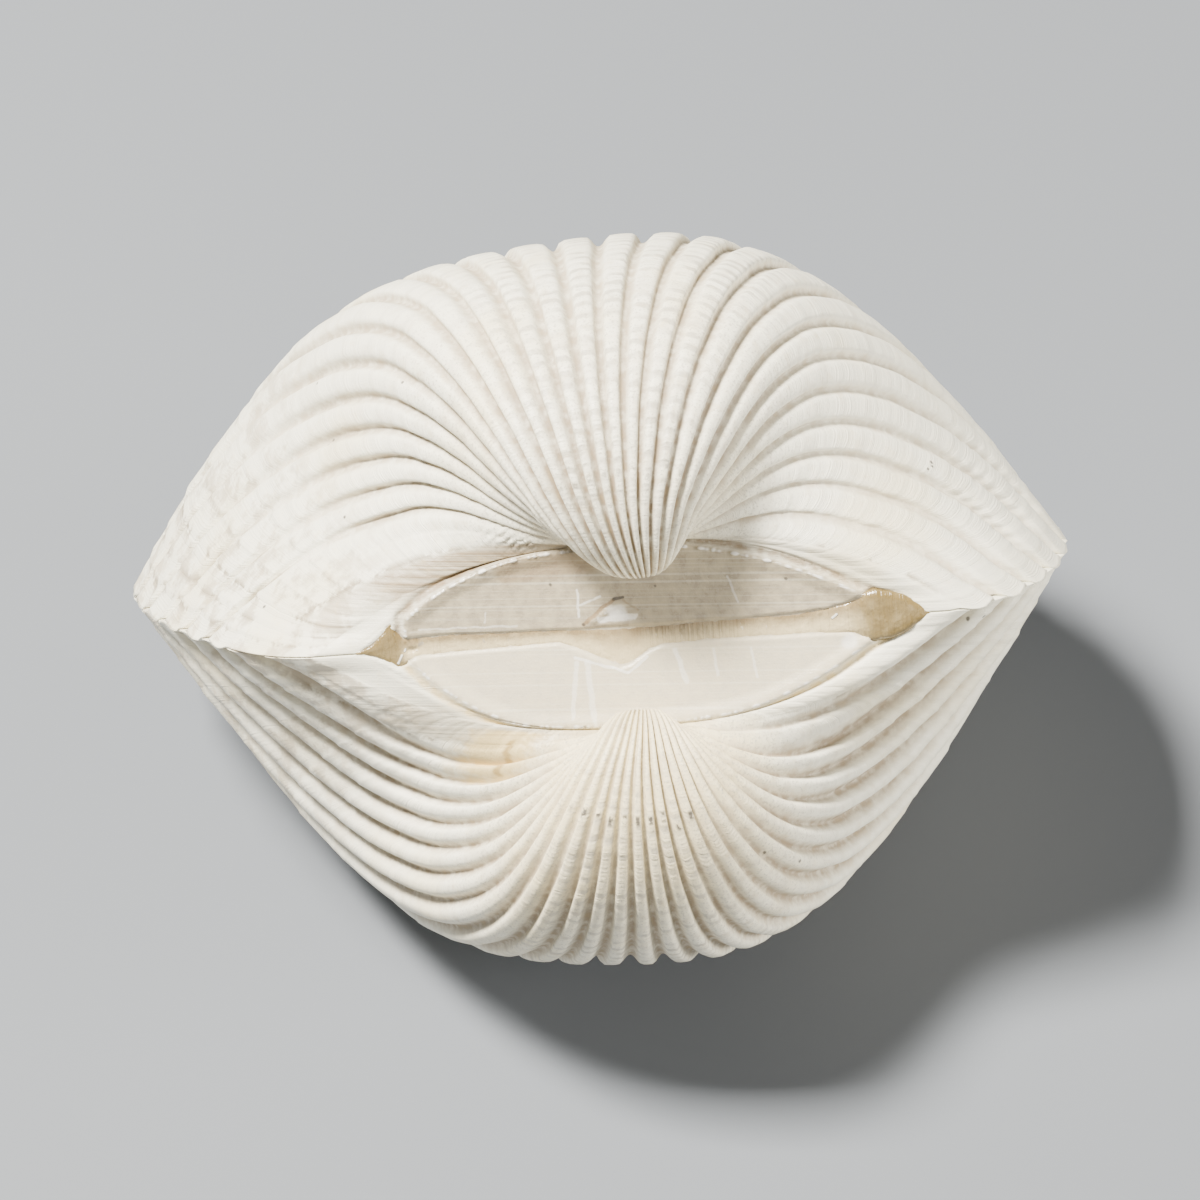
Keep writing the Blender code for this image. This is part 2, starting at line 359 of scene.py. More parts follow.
def growth_rows():
    """The growth size of every row, and how far the rows on the lip lie in from the margin and off it."""
    part = np.arange(SKIN_ROWS + 1) / SKIN_ROWS
    skin = TIP_SIZE + (1 - TIP_SIZE) * part ** ROW_CROWDING
    inner = np.geomspace(1.0, INNER_TIP_SIZE, INNER_ROWS)
    size = np.concatenate((skin, np.ones(len(LIP_STEPS)), inner))
    lip_in = np.zeros(len(size))
    lip_up = np.zeros(len(size))
    lip_up[SKIN_ROWS] = MARGIN_LIFT
    for row, (inset, lift) in enumerate(LIP_STEPS, SKIN_ROWS + 1):
        lip_in[row] = inset
        lip_up[row] = lift
    return size, lip_in, lip_up


def hinge_detail(x):
    """How closely the columns stand on each place of the hinge line."""
    return 1.2 + 1.8 * (np.abs(x) < 6.5) + 1.8 * (x < -19.5) + 1.3 * (x > 15.0)


def valve_grid(valve, size):
    """The columns round the margin and back along the hinge, with the facts that hold for every point."""
    ribs = column_places(valve.rib_shift)
    place = ribs[:, None] + rib_wander(ribs, size, valve.wander)
    arc = margin_arc_at(place)
    full = np.ones((1, len(size)))
    hinge = crowded(OUTLINE[-1][0], OUTLINE[0][0], PLATE_COLUMNS + 2, hinge_detail)[1:-1, None] * full
    grid = SimpleNamespace(
        x=np.concatenate((np.interp(arc, margin_arc, margin[:, 0]), hinge)),
        y=np.concatenate((np.interp(arc, margin_arc, margin[:, 1]), 0 * hinge)),
        on_hinge=np.concatenate((np.zeros(len(ribs)), np.ones(PLATE_COLUMNS)))[:, None] * full,
        from_front=np.concatenate((arc, OUTLINE[0][0] - hinge)),
        from_rear=np.concatenate((margin_arc[-1] - arc, hinge - OUTLINE[-1][0])),
        rib=np.concatenate((ribs, np.full(PLATE_COLUMNS, NO_RIB)))[:, None] * full,
        place=np.concatenate((place, 0 * hinge)),
    )
    grid.size = size[None, :] * np.ones_like(grid.x)
    return grid


def placed(valve, grid, scale):
    """Every point where growth puts it, with the outline drawn in towards its middle by the scale."""
    pivot_x, pivot_y, pivot_z, turn = growth_pivot(grid.size)
    near_beak = smooth(0.16, 0.05, grid.size)
    across = grid.size * (MIDDLE[0] + (grid.x - MIDDLE[0]) * scale)
    down = grid.size * (MIDDLE[1] + (grid.y - MIDDLE[1]) * scale)
    x = pivot_x + valve.beak_shift[0] * near_beak + across
    z = pivot_z + valve.beak_shift[1] * near_beak + down * np.sin(turn)
    return np.stack((x, pivot_y + down * np.cos(turn), z), axis=2)


def skin_relief(valve, skin):
    """Height of the ribbed skin over its smooth form, and masks of the bevelled ends and of the dark step
    lines.
    """
    rear, front = valve.bevels
    off_plate = 1 - skin.on_hinge
    near_end = np.maximum(
        smooth(rear[0] + 1.0, rear[0] - 1.0, skin.from_rear),
        smooth(front[0] + 1.0, front[0] - 1.0, skin.from_front),
    )
    on_rib = 1 - 0.8 * skin.drop
    in_front = np.clip(2.6 * valve.groove.front_fall * smooth(2.0, 7.0, skin.rib), 0.0, 0.8)
    ledges = pause_ledges(skin.size, valve.pauses) * (1 - 0.8 * near_end) * (1 - in_front)
    height = ledges * on_rib * off_plate
    height = height + 0.03 * ripple(skin.size * 60.0, 11, skin.rib * 0.9) * on_rib * off_plate
    rough_fold = hump(0.30, 0.055, skin.size) * hump(8.5, 5.0, skin.from_rear)
    lumps = ripple(skin.size * 190.0, 41, skin.from_rear * 2.2)
    height = height + valve.fold_rise * rough_fold * lumps * off_plate

    # Dark lines just past the higher ledges at the rear, and along the edges of the bevels.
    crack = 0.0
    for at, tall in valve.pauses:
        crack = np.maximum(crack, min(tall / 0.2, 1.0) * hump(at + 0.004, 0.0055, skin.size))
    crack = crack * smooth(-4.0, -8.0, skin.rib) * smooth(0.6, 0.75, skin.size)
    crack = crack * off_plate * valve.dark_steps_rear
    zone = 0.0
    before_margin = smooth(1.0, 0.9, skin.size)
    past_young = smooth(0.25, 0.4, skin.size)
    for distance, (on_margin, on_hinge, cut) in ((skin.from_rear, rear), (skin.from_front, front)):
        width = np.where(skin.on_hinge > 0.5, on_hinge, on_margin)
        share = np.clip(1 - distance / width, 0.0, 1.0)
        height = height - cut * skin.size * share * (1 - 0.3 * share) * before_margin
        height = height - 0.16 * hump(width, 0.5, distance) * past_young * smooth(0.97, 0.9, skin.size)
        zone = np.maximum(zone, smooth(0.0, 0.12, share))
        crack = np.maximum(crack, hump(width, 0.3, distance) * past_young * before_margin * off_plate)
    return height, zone, crack


def shoulder_stain(valve, grid):
    """Strength of the stained crack on the rear shoulder, and of the paler halo round it."""
    line = hump(STAIN_SIZE + 0.006 * ripple(grid.from_rear * 1.1, 51), 0.016, grid.size)
    line = line * smooth(19.0, 17.0, grid.from_rear) * smooth(4.0, 6.5, grid.from_rear)
    halo = hump(STAIN_SIZE + 0.02, 0.09, grid.size)
    halo = halo * smooth(22.0, 14.0, grid.from_rear) * smooth(1.0, 4.0, grid.from_rear)
    return valve.stained * np.maximum(line, 0.55 * halo)


def valve_points(valve):
    """Every point of the valve's skin, by column and row, with the values that its finish reads."""
    row_size, lip_in, lip_up = growth_rows()
    row = np.arange(len(row_size))
    outside = (row <= SKIN_ROWS)[None, :]
    is_inner = (row > SKIN_ROWS + len(LIP_STEPS))[None, :]
    grid = valve_grid(valve, row_size)

    ribbed = smooth(FRONT_GROOVE - 0.2, FRONT_GROOVE - 0.7, grid.rib)
    ribbed = ribbed * smooth(valve.rear_rib - 0.5, valve.rear_rib, grid.rib) * (1 - grid.on_hinge)
    grid.drop = groove_drop(grid.rib, grid.size, valve.rib_shift, valve.groove) * ribbed
    worn = smooth(0.56, 0.74, grid.size) * smooth(-6.4, -7.6, grid.rib)
    wear = 1 - valve.worn_rear * worn * (1 - 0.6 * smooth(0.84, 0.90, grid.size))
    depth = valve.groove.depth * grid.size ** GROOVE_POWER * grid.drop * wear
    reach = np.hypot(grid.x - MIDDLE[0], grid.y - MIDDLE[1])
    scale = 1 - (depth + lip_in[None, :]) / (grid.size * reach)
    points = placed(valve, grid, np.where(is_inner, INNER_SCALE, scale))
    normals = surface_normals(placed(valve, grid, 1.0)[:, :SKIN_ROWS + 1])

    skin = SimpleNamespace(**{name: fact[:, :SKIN_ROWS + 1] for name, fact in vars(grid).items()})
    out = PLATE_LENGTH * (1 - skin.size ** PLATE_POWER)
    relief, plate, lip, furrow = plate_relief(points[:, :SKIN_ROWS + 1, 0], out, valve, valve.flake)
    height, zone, crack = skin_relief(valve, skin)
    height = height * smooth(1.0, 0.985, skin.size) + relief * skin.on_hinge
    points[:, :SKIN_ROWS + 1] += normals * height[..., None]
    points[..., 1] += hinge_sink(grid.x) * grid.on_hinge * (~outside & ~is_inner)

    tooth = valve.side * tooth_rise(grid.place) * (1 - grid.on_hinge) * smooth(0.90, 1.0, grid.size)
    at_margin = grid.size >= 1.0
    z = points[..., 2] + np.where(is_inner & ~at_margin, 0.0, tooth)
    z = np.where(at_margin, SEEN_GAP / 2 + lip_up[None, :] + tooth, z)
    points = np.stack((points[..., 0], points[..., 1], valve.side * z), axis=2)

    plate = plate * skin.on_hinge
    on_skin = {
        "plate": plate,
        "lip": lip * skin.on_hinge,
        "furrow": furrow * skin.on_hinge,
        "zone": zone * (1 - plate),
        "crack": crack,
    }
    unseen = np.zeros((len(grid.x), len(row) - SKIN_ROWS - 1))
    values = {name: np.hstack((value, unseen)) for name, value in on_skin.items()}
    values["size"] = grid.size
    values["rib"] = grid.rib + valve.rib_shift
    values["groove"] = grid.drop * wear * outside
    values["stain"] = shoulder_stain(valve, grid) * (1 - grid.on_hinge) * outside
    return points, values, grid.place


def wrapped_sheet(points, values):
    """A closed skin: a grid whose sides meet, with each end drawn to one point."""
    columns, rows = points.shape[:2]
    for row in (0, rows - 1):
        points[:, row] = points[:, row].mean(axis=0)
    bm = bmesh.new()
    bmesh.ops.create_grid(bm, x_segments=columns, y_segments=rows - 1, size=1.0)
    layers = {name: bm.verts.layers.float.new(name) for name in values}
    for vertex in bm.verts:
        column = round((vertex.co.x + 1) / 2 * columns) % columns
        row = round((vertex.co.y + 1) / 2 * (rows - 1))
        vertex.co = points[column, row]
        for name, layer in layers.items():
            vertex[layer] = values[name][column, row]
    bmesh.ops.remove_doubles(bm, verts=bm.verts, dist=SAME_POINT)
    bmesh.ops.recalc_face_normals(bm, faces=bm.faces)
    bmesh.ops.transform(bm, matrix=rest_matrix, verts=bm.verts)
    return bm


def new_object(name, data):
    item = bpy.data.objects.new(name, data)
    bpy.context.scene.collection.objects.link(item)
    return item


def finished_piece(name, bm, material):
    """The piece in metres, with the rib tops that would reach under the floor cut flat."""
    for vertex in bm.verts:
        vertex.co.z = max(vertex.co.z, 0.0)
    bmesh.ops.scale(bm, vec=(MM, MM, MM), verts=bm.verts)
    for face in bm.faces:
        face.smooth = True
    mesh = bpy.data.meshes.new(name)
    bm.to_mesh(mesh)
    bm.free()
    mesh.materials.append(material)
    return new_object(name, mesh)


SHELL_WHITE = (0.88, 0.86, 0.73, 1.0)
SHELL_IVORY = (0.84, 0.74, 0.48, 1.0)
SHELL_GREY = (0.42, 0.385, 0.32, 1.0)
# The upper plate's pearl is painted much darker than the lower plate's, as painted shade under the
# overhanging beak and upper valve.
SHADED_UPPER_PEARL = (0.34, 0.29, 0.21, 1.0)
LOWER_PEARL = (0.62, 0.555, 0.42, 1.0)
ZONE_TAN = (0.24, 0.175, 0.10, 1.0)
GROOVE_BROWN = (0.22, 0.165, 0.105, 1.0)
GROOVE_BEIGE = (0.50, 0.435, 0.335, 1.0)
FURROW_BROWN = (0.24, 0.16, 0.08, 1.0)
STAIN_BROWN = (0.40, 0.27, 0.09, 1.0)
STAIN_YELLOW = (0.71, 0.54, 0.24, 1.0)
LIP_WHITE = (0.93, 0.92, 0.88, 1.0)
SPECK_GREY = (0.07, 0.06, 0.05, 1.0)
SKIN_BUMP = 0.00010
MARK_BEND = 0.5
SPECK_STRENGTH = 0.85


def add_node(tree, kind, settings=None, **inputs):
    """A node with its settings, and its inputs by socket name or number: a value, or a socket to link."""
    node = tree.nodes.new("ShaderNode" + kind)
    for key, value in (settings or {}).items():
        setattr(node, key, value)
    for key, value in inputs.items():
        by_number = key[0] == "i" and key[1:].isdigit()
        socket = node.inputs[int(key[1:]) if by_number else key.replace("_", " ")]
        if isinstance(value, bpy.types.NodeSocket):
            tree.links.new(value, socket)
        else:
            socket.default_value = value
    return node


def calc(tree, operation, *values, clamp=False):
    sockets = {f"i{i}": value for i, value in enumerate(values)}
    settings = {"operation": operation, "use_clamp": clamp}
    return add_node(tree, "Math", settings, **sockets).outputs[0]


def times(tree, first, *others):
    """The product of the values."""
    for other in others:
        first = calc(tree, "MULTIPLY", first, other)
    return first


def scaled(tree, value, factor, base, clamp=False):
    """The value times the factor, on top of the base."""
    return calc(tree, "MULTIPLY_ADD", value, factor, base, clamp=clamp)


def apart(tree, first, second):
    """How far two values are apart."""
    return calc(tree, "ABSOLUTE", calc(tree, "SUBTRACT", first, second))


def vector_math(tree, operation, *values):
    sockets = {f"i{i}": value for i, value in enumerate(values)}
    return add_node(tree, "VectorMath", {"operation": operation}, **sockets).outputs


def blend(tree, share, first, second):
    return add_node(tree, "Mix", {"data_type": "RGBA"}, i0=share, i6=first, i7=second).outputs[2]


def ramp(tree, value, low, high, to_low=0.0, to_high=1.0):
    """A soft step from one value to another."""
    return add_node(
        tree, "MapRange", {"interpolation_type": "SMOOTHSTEP"},
        Value=value, From_Min=low, From_Max=high, To_Min=to_low, To_Max=to_high,
    ).outputs[0]


def noise(tree, vector, scale, detail=3.0, roughness=0.55):
    settings = {"Vector": vector, "Scale": scale, "Detail": detail, "Roughness": roughness}
    return add_node(tree, "TexNoise", None, **settings).outputs["Fac"]


def line_noise(tree, value, scale, detail=2.0):
    one_way = {"noise_dimensions": "1D"}
    return add_node(tree, "TexNoise", one_way, W=value, Scale=scale, Detail=detail).outputs["Fac"]


def value_of(tree, name):
    """One of the mesh's own values, such as growth size or rib."""
    return add_node(tree, "Attribute", {"attribute_name": name}).outputs["Fac"]


def new_group(name, vectors, values, outputs):
    """A node group with vectors and values coming in, and values going out."""
    group = bpy.data.node_groups.new(name, "ShaderNodeTree")
    sockets = [(socket, "INPUT", "Vector") for socket in vectors]
    sockets += [(socket, "INPUT", "Float") for socket in values]
    sockets += [(socket, "OUTPUT", "Float") for socket in outputs]
    for socket, in_out, kind in sockets:
        group.interface.new_socket(name=socket, in_out=in_out, socket_type="NodeSocket" + kind)
    start = group.nodes.new("NodeGroupInput")
    end = group.nodes.new("NodeGroupOutput")
    return group, start.outputs, end.inputs


def use_group(tree, group, **inputs):
    return add_node(tree, "Group", {"node_tree": group}, **inputs).outputs


SOFT_EDGE = 0.45


def spot_group():
    """Mask of a round mark with soft edges."""
    group, start, end = new_group("spot", ("Point", "From"), ("Width",), ("Mask",))
    gap = vector_math(group, "DISTANCE", start["Point"], start["From"])["Value"]
    edge = times(group, start["Width"], SOFT_EDGE)
    group.links.new(ramp(group, gap, start["Width"], edge), end["Mask"])
    return group


def stroke_group():
    """Mask of a short straight mark between two points, with soft edges."""
    group, start, end = new_group("stroke", ("Point", "From", "To"), ("Width",), ("Mask",))
    arm = vector_math(group, "SUBTRACT", start["Point"], start["From"])[0]
    line = vector_math(group, "SUBTRACT", start["To"], start["From"])[0]
    along = vector_math(group, "DOT_PRODUCT", arm, line)["Value"]
    whole = calc(group, "MAXIMUM", vector_math(group, "DOT_PRODUCT", line, line)["Value"], 0.0001)
    share = calc(group, "DIVIDE", along, whole, clamp=True)
    reached = add_node(group, "VectorMath", {"operation": "SCALE"}, i0=line, Scale=share).outputs[0]
    gap = vector_math(group, "DISTANCE", arm, reached)["Value"]
    edge = times(group, start["Width"], SOFT_EDGE)
    group.links.new(ramp(group, gap, start["Width"], edge), end["Mask"])
    return group


def growth_line_group():
    """Fine growth lines across the ribs: their height, and a mask of the duller ones."""
    group, start, end = new_group("growth_lines", ("Position",), ("Size",), ("Height", "Dull"))
    wander = noise(group, start["Position"], 0.25, 2.0)
    size = scaled(group, wander, 0.012, start["Size"])
    fine = line_noise(group, size, 330.0, 3.0)
    broad = line_noise(group, size, 60.0, 2.0)
    height = scaled(group, broad, 0.8, fine)
    group.links.new(height, end["Height"])
    group.links.new(ramp(group, broad, 0.50, 0.68), end["Dull"])
    return group


def cross_bar_group():
    """Low cross bars over the flat tops of the middle ribs, uneven from rib to rib."""
    group, start, end = new_group("cross_bars", ("Position",), ("Size", "Rib"), ("Height", "Mark"))
    number = calc(group, "ROUND", start["Rib"])
    own = line_noise(group, number, 7.3, 0.0)
    warp = noise(group, start["Position"], 0.5, 1.0)
    phase = scaled(group, own, 3.0, times(group, start["Size"], 74.0))
    phase = scaled(group, warp, 0.6, phase)
    bar = ramp(group, calc(group, "PINGPONG", phase, 0.5), 0.10, 0.30)
    across = apart(group, start["Rib"], number)
    crest = ramp(group, across, 0.38, 0.25)
    belt = times(group, ramp(group, start["Size"], 0.10, 0.18), ramp(group, start["Size"], 0.80, 0.58))
    middle = ramp(group, calc(group, "ABSOLUTE", start["Rib"]), 5.5, 3.0)
    patchy = ramp(group, noise(group, start["Position"], 0.35, 2.0), 0.38, 0.6, 0.1, 1.0)
    share = times(group, crest, belt, middle, patchy)
    group.links.new(times(group, bar, share), end["Height"])
    group.links.new(times(group, calc(group, "SUBTRACT", 1.0, bar), share), end["Mark"])
    return group


growth_lines = growth_line_group()
cross_bars = cross_bar_group()
stroke = stroke_group()
spot = spot_group()
to_shell_axes = rest_turn.to_3x3().inverted()


def shell_position(tree):
    """Position in millimetres along the shell's own axes."""
    return add_node(
        tree, "Mapping", None,
        Vector=add_node(tree, "TexCoord").outputs["Object"],
        Location=-(to_shell_axes @ Vector(REST_SHIFT)),
        Rotation=to_shell_axes.to_euler(),
        Scale=(1000.0, 1000.0, 1000.0),
    ).outputs[0]


def shell_signs(tree):
    """What the shell's finish reads: its own values, its place in millimetres, and the noises on it."""
    names = ("size", "rib", "groove", "plate", "lip", "furrow", "zone", "crack", "stain")
    signs = SimpleNamespace(**{name: value_of(tree, name) for name in names})
    signs.at = shell_position(tree)
    signs.lines = use_group(tree, growth_lines, Size=signs.size, Position=signs.at)
    signs.bars = use_group(tree, cross_bars, Size=signs.size, Rib=signs.rib, Position=signs.at)
    axes = add_node(tree, "SeparateXYZ", None, Vector=signs.at).outputs
    signs.along = axes[0]
    signs.striae = line_noise(tree, scaled(tree, axes[0], 0.06, axes[2]), 2.6, 3.0)
    signs.mottle = noise(tree, signs.at, 0.9, 4.0)
    signs.grain = noise(tree, signs.at, 4.0, 3.0)
    signs.young = ramp(tree, signs.size, 0.40, 0.12)
    return signs


def rib_colour(tree, signs, look):
    """White to ivory lime with dull growth lines, pits, smudges, and dust, dirt and painted shade in the
    grooves.
    """
    cloud = ramp(tree, noise(tree, signs.at, 0.07, 4.0), 0.45, 0.7, 0.0, 0.5)
    ivory = scaled(tree, signs.young, look.warmth, cloud, clamp=True)
    colour = blend(tree, ivory, SHELL_WHITE, SHELL_IVORY)
    colour = blend(tree, times(tree, signs.lines["Dull"], 0.13), colour, SHELL_GREY)
    colour = blend(tree, times(tree, signs.bars["Mark"], 0.65), colour, SHELL_GREY)
    pits = times(tree, ramp(tree, signs.grain, 0.52, 0.66, 0.0, 0.6), ramp(tree, signs.size, 0.48, 0.30))
    colour = blend(tree, pits, colour, SHELL_GREY)
    smudge = ramp(tree, noise(tree, signs.at, 0.45, 4.0), 0.45, 0.7, 0.0, 0.3)
    colour = blend(tree, times(tree, smudge, ramp(tree, signs.size, 0.75, 0.30)), colour, GROOVE_BEIGE)

    # Beige and brown in the grooves, strongest at their floors and in the young shell: partly dust and dirt,
    # partly painted shade in the hollows.
    from_tip = ramp(tree, signs.size, look.clean_tip[0], look.clean_tip[1], 0.35, 1.0)
    kept = times(tree, ramp(tree, signs.mottle, 0.3, 0.65, 0.45, 1.0), from_tip)
    groove_dust_and_shade = times(tree, ramp(tree, signs.groove, 0.12, 0.75), kept, 0.85)
    colour = blend(tree, groove_dust_and_shade, colour, GROOVE_BEIGE)
    dirt_and_shade_darkness = scaled(tree, signs.young, 0.55, look.dark_grooves)
    groove_dirt_and_shade = times(tree, ramp(tree, signs.groove, 0.60, 1.0), kept, dirt_and_shade_darkness)
    return blend(tree, groove_dirt_and_shade, colour, GROOVE_BROWN)


def rear_colour(tree, signs, look, colour):
    """Over that: painted shadow between rear tabs, tan patches, dark step lines, end zones tan and painted
    shade, the stain.
    """
    between = apart(tree, calc(tree, "FRACT", signs.rib), 0.5)
    # Painted shadow: a thin dark line in each narrow gap between the rear tabs, where the tabs shade it.
    painted_tab_shadow = times(
        tree, ramp(tree, between, 0.035, 0.012), ramp(tree, signs.groove, 0.05, 0.2),
        ramp(tree, signs.size, 0.74, 0.84, 0.0, 0.7), ramp(tree, signs.rib, -5.0, -6.5),
    )
    colour = blend(tree, painted_tab_shadow, colour, GROOVE_BROWN)
    behind = times(tree, ramp(tree, signs.rib, -3.0, -7.0), ramp(tree, signs.size, 0.5, 0.75))
    patch = noise(tree, signs.at, 0.28, 4.0, 0.7)
    colour = blend(tree, times(tree, behind, ramp(tree, patch, 0.46, 0.62, 0.0, 0.7)), colour, GROOVE_BEIGE)
    crack = times(tree, signs.crack, ramp(tree, patch, 0.46, 0.56, 0.0, 0.75))
    colour = blend(tree, crack, colour, GROOVE_BROWN)
    # Tan over the bevelled ends, more towards the rear and in the young shell: partly their own tan, partly
    # painted shade in their hollow.
    tint = times(
        tree, signs.zone, ramp(tree, signs.striae, 0.35, 0.65, 0.7 * look.tan_zone, look.tan_zone),
        ramp(tree, signs.along, 5.0, -5.0, 0.3, 1.0), ramp(tree, signs.size, 0.86, 0.64, 0.15, 1.0),
    )
    colour = blend(tree, tint, colour, ZONE_TAN)
    stain = scaled(tree, signs.mottle, 0.5, calc(tree, "SUBTRACT", signs.stain, 0.25))
    colour = blend(tree, ramp(tree, stain, 0.0, 0.40, 0.0, 0.85), colour, STAIN_YELLOW)
    return blend(tree, ramp(tree, stain, 0.55, 1.0, 0.0, 0.8), colour, STAIN_BROWN)


def plate_colour(tree, signs, look, colour):
    """Over that: the pearly cardinal plate, its white lip and the furrow outside it, on the left valve
    painted shade.
    """
    pearl = blend(tree, ramp(tree, signs.mottle, 0.3, 0.7, 0.0, 0.25), look.pearl, SHELL_IVORY)
    pearl = blend(tree, ramp(tree, signs.striae, 0.5, 0.7, 0.0, 0.25), pearl, SHELL_WHITE)
    colour = blend(tree, signs.plate, colour, pearl)
    colour = blend(tree, ramp(tree, signs.lip, 0.4, 1.1, 0.0, 0.85), colour, LIP_WHITE)
    # The furrow's tint: on the left valve brown painted shade in the recess outside the lip, on the right
    # valve a yellow stain.
    uneven = ramp(tree, signs.mottle, 0.3, 0.6, 0.4, 1.0)
    furrow = times(tree, ramp(tree, signs.furrow, 0.15, 1.0, 0.0, 0.8), uneven)
    return blend(tree, furrow, colour, look.furrow)


def marked_colour(tree, signs, strokes, colour):
    """Over that: single streaks and specks, bent and ragged a little."""
    rag = scaled(tree, signs.grain, 0.5, 0.75)
    ragged = add_node(tree, "TexNoise", None, Vector=signs.at, Scale=0.8, Detail=3.0)
    bent = vector_math(tree, "MULTIPLY_ADD", ragged.outputs["Color"], [MARK_BEND] * 3, signs.at)[0]
    bent = vector_math(tree, "SUBTRACT", bent, [MARK_BEND / 2] * 3)[0]
    for first, second, width, share, tint in strokes:
        if first == second:
            mask = use_group(tree, spot, Point=bent, Width=width, From=first)["Mask"]
        else:
            mask = use_group(tree, stroke, Point=bent, Width=width, From=first, To=second)["Mask"]
        strength = calc(tree, "MULTIPLY", mask, times(tree, rag, share), clamp=True)
        colour = blend(tree, strength, colour, tint)
    return colour


def halted_colour(tree, signs, look, colour):
    """Over that: the ring of dark specks on the rib tops where the young shell once stopped growing."""
    number = calc(tree, "ROUND", signs.rib)
    across = apart(tree, signs.rib, number)
    halt_at = scaled(tree, line_noise(tree, number, 5.1, 0.0), 0.024, look.halt[0] - 0.012)
    off_halt = apart(tree, signs.size, halt_at)
    speck = times(
        tree, ramp(tree, off_halt, 0.006, 0.002), ramp(tree, across, 0.24, 0.08),
        ramp(tree, calc(tree, "ABSOLUTE", signs.rib), 6.0, 4.0),
        ramp(tree, noise(tree, signs.at, 1.6, 2.0), 0.42, 0.55, 0.0, look.halt[1]),
    )
    return blend(tree, speck, colour, SPECK_GREY)


def shell_roughness(tree, signs):
    """Silky ribs, a smoother plate and lip, and duller grooves."""
    rough = ramp(tree, signs.mottle, 0.3, 0.7, 0.40, 0.54)
    rough = scaled(tree, signs.plate, -0.16, rough)
    rough = scaled(tree, signs.lip, -0.16, rough)
    return scaled(tree, signs.groove, 0.2, rough, clamp=True)


def shell_bump(tree, signs):
    """Growth lines, cross bars, grain, and fine striae on the bevelled ends."""
    flat = scaled(tree, calc(tree, "MAXIMUM", signs.plate, signs.zone), -0.6, 0.7)
    plain = scaled(tree, signs.groove, -0.75, flat, clamp=True)
    relief = times(tree, signs.lines["Height"], plain)
    relief = scaled(tree, signs.bars["Height"], 0.45, relief)
    relief = scaled(tree, signs.grain, 0.35, relief)
    relief = scaled(tree, times(tree, signs.striae, signs.zone), 0.5, relief)
    return add_node(tree, "Bump", None, Height=relief, Distance=SKIN_BUMP, Strength=1.0).outputs[0]


def new_material(name):
    """A material with its node tree and the inputs of its shader."""
    material = bpy.data.materials.new(name)
    material.use_nodes = True
    return material, material.node_tree, material.node_tree.nodes["Principled BSDF"].inputs


def shell_material(look, strokes):
    """White lime: silky ribs, grey-brown grooves, a pearly plate with a glossy lip and a furrow."""
    material, tree, inputs = new_material(look.name)
    signs = shell_signs(tree)
    colour = rib_colour(tree, signs, look)
    colour = rear_colour(tree, signs, look, colour)
    colour = plate_colour(tree, signs, look, colour)
    colour = marked_colour(tree, signs, strokes, colour)
    colour = halted_colour(tree, signs, look, colour)
    tree.links.new(colour, inputs["Base Color"])
    tree.links.new(shell_roughness(tree, signs), inputs["Roughness"])
    tree.links.new(shell_bump(tree, signs), inputs["Normal"])
    return material


def specks_on(points, place, sizes, specks):
    """Round dark marks at the skin's points nearest to each rib place and growth size."""
    marks = []
    for rib_place, size, radius in specks:
        misfit = (np.abs(place - rib_place) * 0.2 + np.abs(sizes - size))[:, :SKIN_ROWS]
        at = tuple(points[np.unravel_index(misfit.argmin(), misfit.shape)])
        marks.append((at, at, radius, SPECK_STRENGTH, SPECK_GREY))
    return marks


def on_plate(x, z):
    """The point of the sunk plates that stands at x on the hinge line and z over it."""
    return (x, PLATE_FALL / PLATE_HEIGHT * abs(z) + PLATE_SINK, z)


def marks_on_plate(marks):
    """The rows of a table of marks, with their ends as points."""
    ends = [(on_plate(*mark[0:2]), on_plate(*mark[2:4])) for mark in marks]
    return [end + mark[4:] for end, mark in zip(ends, marks)]


def valve_shell(name, valve, look, specks, marks):
    """A valve's skin, with its specks and the marks on its plate in the finish."""
    points, values, place = valve_points(valve)
    laid_on = specks_on(points, place, values["size"], specks) + marks_on_plate(marks)
    return finished_piece(name, wrapped_sheet(points, values), shell_material(look, laid_on))


# Dark specks, as rib place, size and radius in millimetres
LEFT_SPECKS = (
    (-9.44, 0.583, 0.25), (-9.59, 0.587, 0.22), (-9.44, 0.394, 0.22), (-10.38, 0.416, 0.25),
    (-11.93, 0.619, 0.25), (-13.08, 0.886, 0.25), (-7.62, 0.395, 0.22), (-7.77, 0.564, 0.2),
    (8.72, 0.696, 0.3), (8.84, 0.705, 0.22), (9.0, 0.70, 0.26),
)
